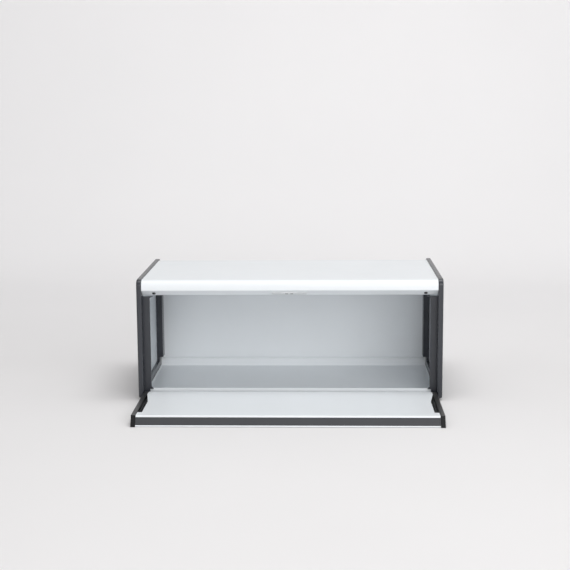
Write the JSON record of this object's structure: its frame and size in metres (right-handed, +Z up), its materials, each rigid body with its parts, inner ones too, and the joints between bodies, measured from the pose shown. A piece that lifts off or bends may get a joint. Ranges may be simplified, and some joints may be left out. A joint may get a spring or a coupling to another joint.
{
  "type": "bread box",
  "caption": "White steel bread box with dark side panels and a fall-front door hinged at the bottom, shown lying open.",
  "frame": {"origin": "middle of the footprint of the box with its door lying open, at worktop height", "axes": "+X to the right as seen from the front, +Y to the back, +Z up"},
  "size_m": [0.465, 0.3996, 0.1875],
  "materials": {
    "powder_coated_white": "satin powder coat",
    "dark_moulded_plastic": "fine moulded grain",
    "liner_light_grey": "satin",
    "black_rubber": "matt",
    "bright_steel": "plated",
    "black_nylon": "plain",
    "white_plastic": "semi-gloss"
  },
  "bodies": {
    "box": {"casing_sheet": "powder_coated_white", "floor_pan": "powder_coated_white", "side_panel_left": "dark_moulded_plastic", "side_panel_right": "dark_moulded_plastic", "side_liner_left": "liner_light_grey", "side_liner_right": "liner_light_grey", "foot_front_left": "black_rubber", "foot_front_right": "black_rubber", "foot_rear_left": "black_rubber", "foot_rear_right": "black_rubber", "hinge_bush_left": "black_nylon", "hinge_bush_right": "black_nylon", "catch_holder": "white_plastic", "catch_magnet_left": "bright_steel", "catch_magnet_right": "bright_steel", "lip_bumper_left": "black_rubber", "lip_bumper_right": "black_rubber", "back_screw_low_left": "bright_steel", "back_screw_low_right": "bright_steel", "back_screw_high_left": "bright_steel", "back_screw_high_right": "bright_steel"},
    "door": {"door_skin": "powder_coated_white", "door_inner_panel": "powder_coated_white", "door_cap_left": "dark_moulded_plastic", "door_cap_right": "dark_moulded_plastic", "door_grip_strip": "dark_moulded_plastic", "door_screw_left": "bright_steel", "door_screw_right": "bright_steel", "hinge_pin_left": "bright_steel", "hinge_pin_right": "bright_steel"}
  },
  "joints": [
    {"name": "door_hinge", "type": "hinge", "parent": "box", "child": "door", "pos_m": [0, -0.03825, 0.007], "axis": [-1, 0, 0], "range_deg": [0, 90]}
  ]
}
